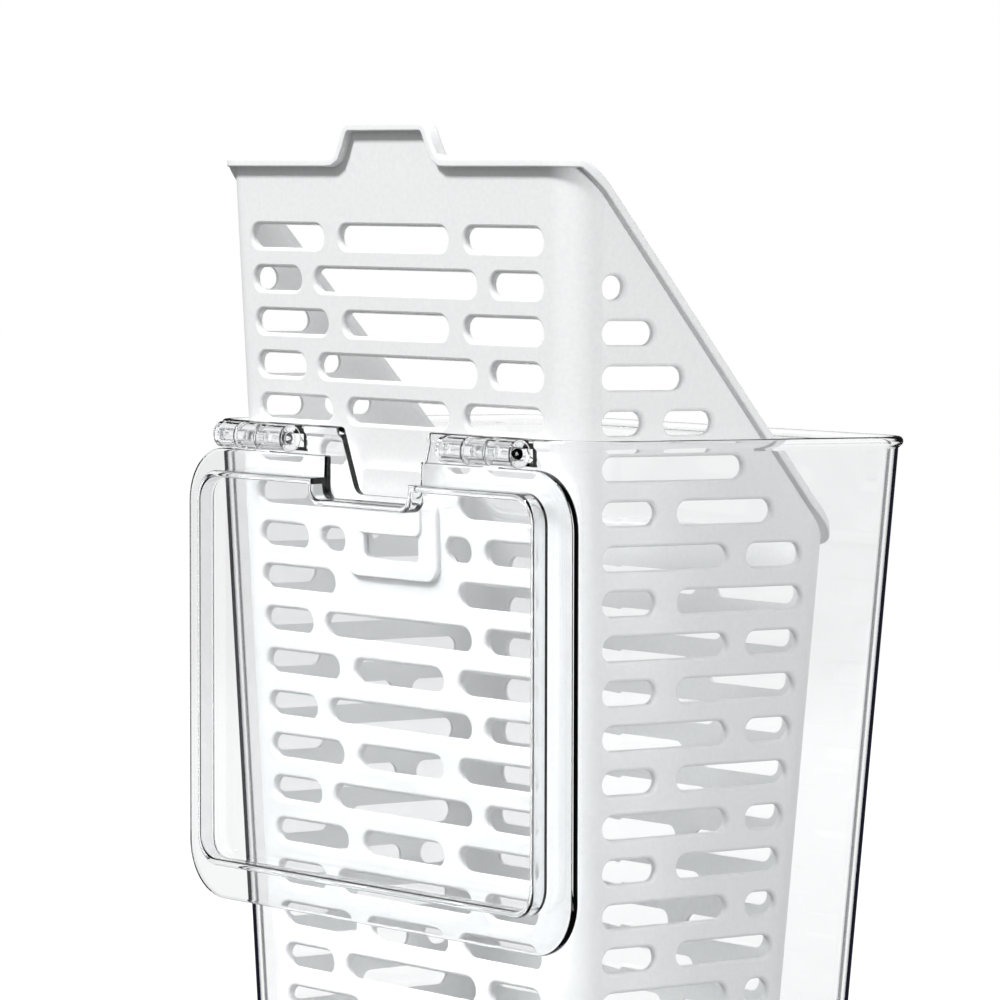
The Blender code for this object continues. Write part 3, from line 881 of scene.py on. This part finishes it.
def cut_slot(bm, wall, low, high, foot):
    """A cutter for one slot, which rounds the slot's rim in the wall's outer face."""
    rim = arc((SLOT_EDGE, SLOT_EDGE), SLOT_EDGE, 270 - RIM_LEAN, 180, ROUND_STEPS)
    section = [(rim[0][0], -CUT_REACH)] + rim + [(0, CUT_REACH)]
    skin(bm, [[wall(along, z, depth) for along, z in slot_outline(low, high, foot, grow)]
              for grow, depth in section])


def front_cutters(bm):
    for row in range(ROW_COUNT):
        foot = row_foot(row)
        for slot in front_slots(row, foot):
            for low, high in open_beside_catch(*slot, foot):
                cut_slot(bm, on_front, low, high, foot)


def back_cutters(bm):
    for row in range(ROW_COUNT):
        foot = row_foot(row)
        if foot + SLOT_HEIGHT > INSERT_TOP - LOW_WALL_DROP - LOW_WALL_MARGIN:
            continue
        for low, high in front_slots(row, foot):
            cut_slot(bm, on_back, low, high, foot)


def side_cutters(bm):
    for row in range(ROW_COUNT):
        foot = row_foot(row)
        for low, high in side_slots(row, foot):
            for wall in (on_right, on_left):
                cut_slot(bm, wall, low, high, foot)


def floor_cutters(bm):
    """Drain slots across the insert's floor."""
    y = (insert_front(INSERT_BASE) + insert_back(INSERT_BASE)) / 2
    for column in range(-DRAINS_EACH_SIDE, DRAINS_EACH_SIDE + 1):
        x = column * DRAIN_PITCH
        outline = rounded_box(x - DRAIN_HALF, x + DRAIN_HALF, y - DRAIN_REACH, y + DRAIN_REACH,
                              DRAIN_RADIUS, ROUND_STEPS)
        levels = (INSERT_BASE - CUT_MARGIN, INSERT_BASE + CUT_REACH)
        skin(bm, [[(a, b, z) for a, b in outline] for z in levels])


# ---- catch ----

def window_outline():
    return rounded_box(-WINDOW_HALF, WINDOW_HALF, WINDOW_FOOT_Z, WINDOW_TOP_Z, WINDOW_RADIUS, ROUND_STEPS)


def window_cutter(bm):
    y = insert_front(WINDOW_FOOT_Z)
    skin(bm, along_y(window_outline(), y - CUT_REACH, y + CUT_REACH))


def face_rings(outline, *depths):
    """An (x, z) outline laid on the sloping hinge-side face at several depths."""
    return [[(x, insert_front(z) + depth, z) for x, z in outline] for depth in depths]


def catch_frame(bm):
    """The frame that stands proud round the catch's window."""
    outline = rounded_box(-CATCH_HALF, CATCH_HALF, CATCH_FOOT_Z, CATCH_TOP_Z, CATCH_RADIUS, ROUND_STEPS)
    outer = face_rings(outline, INSERT_WALL / 2, -CATCH_PROUD)
    inner = face_rings(window_outline(), -CATCH_PROUD, INSERT_WALL / 2)
    skin(bm, outer + inner, closed=True)


def catch_tongue(bm):
    """The catch's flat tongue, which crosses the top of the window."""
    outline = rounded_box(-TONGUE_HALF, TONGUE_HALF, TONGUE_FOOT_Z, TONGUE_TOP_Z, TONGUE_RADIUS,
                          ROUND_STEPS)
    skin(bm, face_rings(outline, -TONGUE_PROUD, INSERT_WALL / 2))


def make_insert(material):
    insert = new_mesh_object("insert_white", insert_cup)
    keep = new_mesh_object("keep", keep_below_sides)
    combine(keep, keep_below_tab, "UNION")
    combine(insert, keep, "INTERSECT")
    combine(insert, window_cutter, "DIFFERENCE")
    for maker in (front_cutters, back_cutters, side_cutters, floor_cutters):
        combine(insert, maker, "DIFFERENCE")
    frame_piece = new_mesh_object("frame", catch_frame)
    tongue = new_mesh_object("tongue", catch_tongue)
    for piece in (frame_piece, tongue):
        soften(piece, CATCH_EDGE)
    insert = join([insert, new_mesh_object("lip", lip), frame_piece, tongue])
    shade(insert)
    finish_piece(insert, material, "insert", "white_plastic", "insert")


# ---- studio ----

def make_camera():
    back = Vector((math.sin(CAMERA_AZIMUTH) * math.cos(CAMERA_ELEVATION),
                   -math.cos(CAMERA_AZIMUTH) * math.cos(CAMERA_ELEVATION),
                   math.sin(CAMERA_ELEVATION)))
    level_right = Vector((math.cos(CAMERA_AZIMUTH), math.sin(CAMERA_AZIMUTH), 0))
    level_up = back.cross(level_right)
    right = math.cos(CAMERA_ROLL) * level_right + math.sin(CAMERA_ROLL) * level_up
    up = math.cos(CAMERA_ROLL) * level_up - math.sin(CAMERA_ROLL) * level_right
    turn = Matrix((right, up, back)).transposed().to_4x4()
    camera = bpy.data.objects.new("camera", bpy.data.cameras.new("camera"))
    camera.matrix_world = Matrix.Translation(CAMERA_TARGET + back * CAMERA_DISTANCE) @ turn
    camera.data.lens = CAMERA_LENS
    camera.data.sensor_width = SENSOR_WIDTH
    bpy.context.scene.collection.objects.link(camera)
    bpy.context.scene.camera = camera


def area_light(name, place, size, power):
    """A soft square light that faces the middle of the object."""
    lamp = bpy.data.lights.new(name, "AREA")
    lamp.size = size
    lamp.energy = power
    light = bpy.data.objects.new(name, lamp)
    light.location = place
    light.visible_transmission = False
    light.rotation_mode = "QUATERNION"
    centre = (cad_low + cad_high) / 2
    light.rotation_quaternion = (centre - Vector(place)).to_track_quat("-Z", "Y")
    bpy.context.scene.collection.objects.link(light)
    return light


def strength_by_path(tree, seen, on_dull, on_gloss):
    """A light's strength: as seen, as it lights dull surfaces and as it shows in reflections."""
    path = tree.nodes.new("ShaderNodeLightPath")
    reflected = maths(tree, "SUBTRACT", path.outputs["Is Glossy Ray"], path.outputs["Is Transmission Ray"])
    dull = tree.nodes.new("ShaderNodeMapRange")
    dull.inputs["To Max"].default_value = on_dull
    tree.links.new(path.outputs["Diffuse Depth"], dull.inputs["Value"])
    tree.links.new(scaled(tree, reflected, 0, 1, seen, on_gloss), dull.inputs["To Min"])
    return dull.outputs["Result"]


def make_world():
    """White all round, but dimmer on dull surfaces and in reflections, so that the lamps shape them."""
    world = bpy.data.worlds.new("studio")
    bpy.context.scene.world = world
    world.cycles.sampling_method = "NONE"
    world.use_nodes = True
    tree = world.node_tree
    background = tree.nodes["Background"]
    background.inputs["Color"].default_value = (1, 1, 1, 1)
    strength = strength_by_path(tree, 1.0, WORLD_ON_DULL, WORLD_ON_GLOSS)
    tree.links.new(strength, background.inputs["Strength"])


def make_floor():
    material = bpy.data.materials.new("pale_floor")
    material.use_nodes = True
    tree = material.node_tree
    shader = tree.nodes["Principled BSDF"]
    shader.inputs["Base Color"].default_value = FLOOR_COLOUR
    shader.inputs["Roughness"].default_value = 0.9
    shader.inputs["Specular IOR Level"].default_value = 0.0
    shader.inputs["Emission Color"].default_value = (1, 1, 1, 1)
    tree.links.new(strength_by_path(tree, FLOOR_GLOW, 0.0, 0.0), shader.inputs["Emission Strength"])
    floor = new_mesh_object("floor", lambda bm: bmesh.ops.create_circle(
        bm, cap_ends=True, segments=64, radius=FLOOR_RADIUS))
    floor.data.materials.append(material)
    floor.visible_glossy = False


def make_studio():
    make_camera()
    make_world()
    make_floor()
    area_light("key", **KEY_LIGHT)
    area_light("fill", **FILL_LIGHT).visible_glossy = False
    area_light("back", **BACK_LIGHT).visible_glossy = False
    bpy.context.scene.view_settings.view_transform = "Standard"


make_studio()
# each clear plastic carries painted edge shade, darker where its faces are seen edge-on
hinge_clear = clear_plastic("clear_hinge", HINGE_COLOUR, HINGE_DARKENS, HINGE_EDGE_PAINTED_SHADE)
make_container(clear_plastic("clear_walls", WALL_COLOUR, FLAT_DARKENS, WALL_EDGE_PAINTED_SHADE),
               clear_plastic("clear_corners", WALL_COLOUR, CORNER_DARKENS, WALL_EDGE_PAINTED_SHADE), hinge_clear)
make_pins(hinge_clear)
make_lid(clear_plastic("clear_lid", LID_COLOUR, FLAT_DARKENS, THIN_EDGE_PAINTED_SHADE),
         clear_plastic("clear_lid_edges", LID_COLOUR, LID_EDGE_DARKENS, THIN_EDGE_PAINTED_SHADE), hinge_clear)
make_insert(white_plastic())
